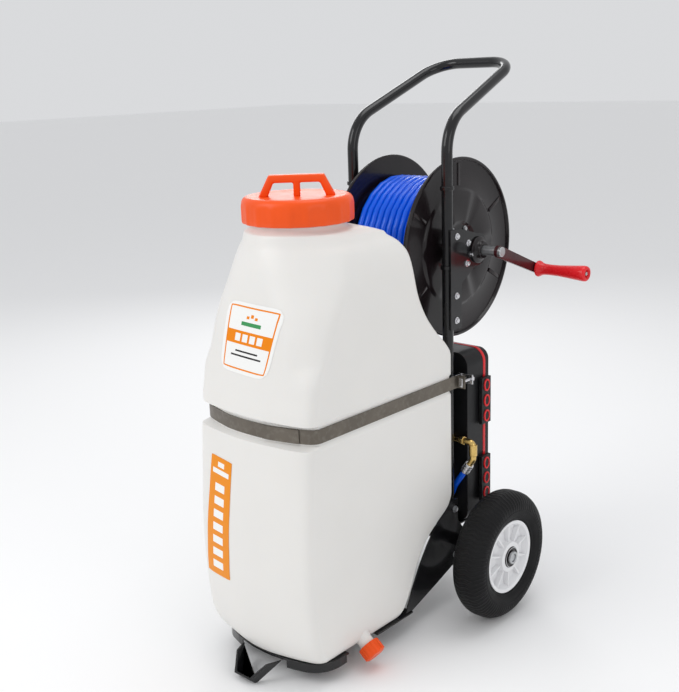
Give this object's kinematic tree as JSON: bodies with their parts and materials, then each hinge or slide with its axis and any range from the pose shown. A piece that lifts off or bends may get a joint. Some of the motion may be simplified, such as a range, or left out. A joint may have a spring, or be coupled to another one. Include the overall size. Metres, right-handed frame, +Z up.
{
  "type": "wheeled sprayer cart",
  "caption": "Upright hand cart carrying a moulded chemical tank with a screw filler cap, a hose reel with a crank, and a clamshell power case, on pneumatic wheels and a front foot.",
  "frame": {"origin": "on the ground under the middle of the bounding box", "axes": "+Z up; -Y towards the front of the tank, +Y towards the handle and the person pushing; +X to the crank side"},
  "size_m": [0.5678, 0.7732, 1.125],
  "materials": {
    "frame_paint": "gloss black powder coat",
    "reel_paint": "gloss black enamel",
    "tank_plastic": "translucent off-white polyethylene, satin",
    "orange_plastic": "orange moulded plastic",
    "tyre_rubber": "black tyre rubber with fine tread",
    "seal_rubber": "black rubber",
    "rim_plastic": "white moulded wheel",
    "strap_steel": "brushed grey-brown steel band",
    "bright_steel": "bright plated steel",
    "zinc_steel": "zinc plated steel",
    "hose_blue": "glossy blue hose",
    "hose_black": "black suction hose",
    "red_plastic": "red moulded plastic",
    "case_plastic": "black textured plastic",
    "grey_plastic": "dark grey plastic",
    "brass": "machined brass",
    "motor_steel": "drawn steel can"
  },
  "bodies": {
    "frame": {"handle_tube": "frame_paint", "upper_crossmember": "frame_paint", "axle": "zinc_steel", "axle_tube": "frame_paint", "base_tray": "frame_paint", "side_plate_right": "frame_paint", "side_plate_left": "frame_paint", "front_foot": "frame_paint", "tank": "tank_plastic", "strap_band": "strap_steel", "strap_ear_right": "bright_steel", "strap_ear_left": "bright_steel", "strap_bolt_right": "bright_steel", "strap_bolt_left": "bright_steel", "reel_bracket_right": "frame_paint", "reel_bracket_left": "frame_paint", "reel_bearing_right": "reel_paint", "reel_bearing_left": "reel_paint", "swivel_inlet": "brass", "case_shelf": "frame_paint", "case_body": "case_plastic", "case_band": "red_plastic", "battery": "grey_plastic", "pump_motor": "motor_steel", "pump_head": "case_plastic", "outlet_pipe": "brass", "outlet_nut": "brass", "outlet_elbow": "brass", "hose_ferrule": "bright_steel", "supply_hose": "hose_blue", "suction_hose": "hose_black", "tank_outlet": "case_plastic", "axle_spacer_right": "reel_paint", "axle_spacer_left": "reel_paint", "axle_washer_right": "zinc_steel", "axle_washer_left": "zinc_steel"},
    "wheel_right": {"tyre_right": "tyre_rubber", "rim_right": "rim_plastic", "bearing_right": "reel_paint"},
    "wheel_left": {"tyre_left": "tyre_rubber", "rim_left": "rim_plastic", "bearing_left": "reel_paint"},
    "reel": {"reel_drum": "reel_paint", "reel_flange_right": "reel_paint", "reel_flange_left": "reel_paint", "reel_shaft": "zinc_steel", "hose_winding": "hose_blue", "crank_arm": "reel_paint", "hose_connector": "brass", "crank_pin": "zinc_steel"},
    "grip": {"crank_grip": "red_plastic"},
    "strainer": {"strainer": "grey_plastic"},
    "seal": {"cap_seal": "seal_rubber"},
    "cap": {"filler_cap": "orange_plastic"},
    "drain_seal": {"drain_seal": "seal_rubber"},
    "drain_cap": {"drain_cap": "orange_plastic"},
    "lid": {"case_lid": "case_plastic"},
    "latch_upper": {"latch_upper": "case_plastic"},
    "latch_lower": {"latch_lower": "case_plastic"},
    "switch": {"power_switch": "red_plastic"}
  },
  "joints": [
    {"name": "wheel_right_spin", "type": "hinge", "parent": "frame", "child": "wheel_right", "pos_m": [0.2085, 0.13287, 0.133], "axis": [1, 0, 0], "continuous": true},
    {"name": "wheel_left_spin", "type": "hinge", "parent": "frame", "child": "wheel_left", "pos_m": [-0.2475, 0.13287, 0.133], "axis": [1, 0, 0], "continuous": true},
    {"name": "reel_spin", "type": "hinge", "parent": "frame", "child": "reel", "pos_m": [-0.0195, 0.18987, 0.75], "axis": [1, 0, 0], "continuous": true},
    {"name": "grip_spin", "type": "hinge", "parent": "reel", "child": "grip", "pos_m": [0.2255, 0.33222, 0.69393], "axis": [1, 0, 0], "continuous": true},
    {"name": "strainer_lift", "type": "slide", "parent": "frame", "child": "strainer", "axis": [0, 0, 1], "range_m": [0, 0.13]},
    {"name": "cap_lift", "type": "slide", "parent": "strainer", "child": "seal", "axis": [0, 0, 1], "range_m": [0, 0.06]},
    {"name": "cap_turn", "type": "hinge", "parent": "seal", "child": "cap", "pos_m": [-0.0195, -0.18313, 0.87], "axis": [0, 0, 1], "range_deg": [0, 360]},
    {"name": "drain_slide", "type": "slide", "parent": "frame", "child": "drain_seal", "axis": [0.788, 0, -0.6157], "range_m": [0, 0.02]},
    {"name": "drain_turn", "type": "hinge", "parent": "drain_seal", "child": "drain_cap", "pos_m": [0.1115, -0.19413, 0.058], "axis": [0.788, 0, -0.6157], "range_deg": [0, 360]},
    {"name": "lid_swing", "type": "hinge", "parent": "frame", "child": "lid", "pos_m": [-0.1615, 0.20787, 0.357], "axis": [0, 0, 1], "range_deg": [0, 105]},
    {"name": "latch_upper_swing", "type": "hinge", "parent": "lid", "child": "latch_upper", "pos_m": [0.1215, 0.21017, 0.434], "axis": [0, 0, 1], "range_deg": [0, 90]},
    {"name": "latch_lower_swing", "type": "hinge", "parent": "lid", "child": "latch_lower", "pos_m": [0.1215, 0.21017, 0.262], "axis": [0, 0, 1], "range_deg": [0, 90]},
    {"name": "switch_rock", "type": "hinge", "parent": "frame", "child": "switch", "pos_m": [-0.0765, 0.18087, 0.5435], "axis": [0, 1, 0], "range_deg": [-7, 7]}
  ]
}
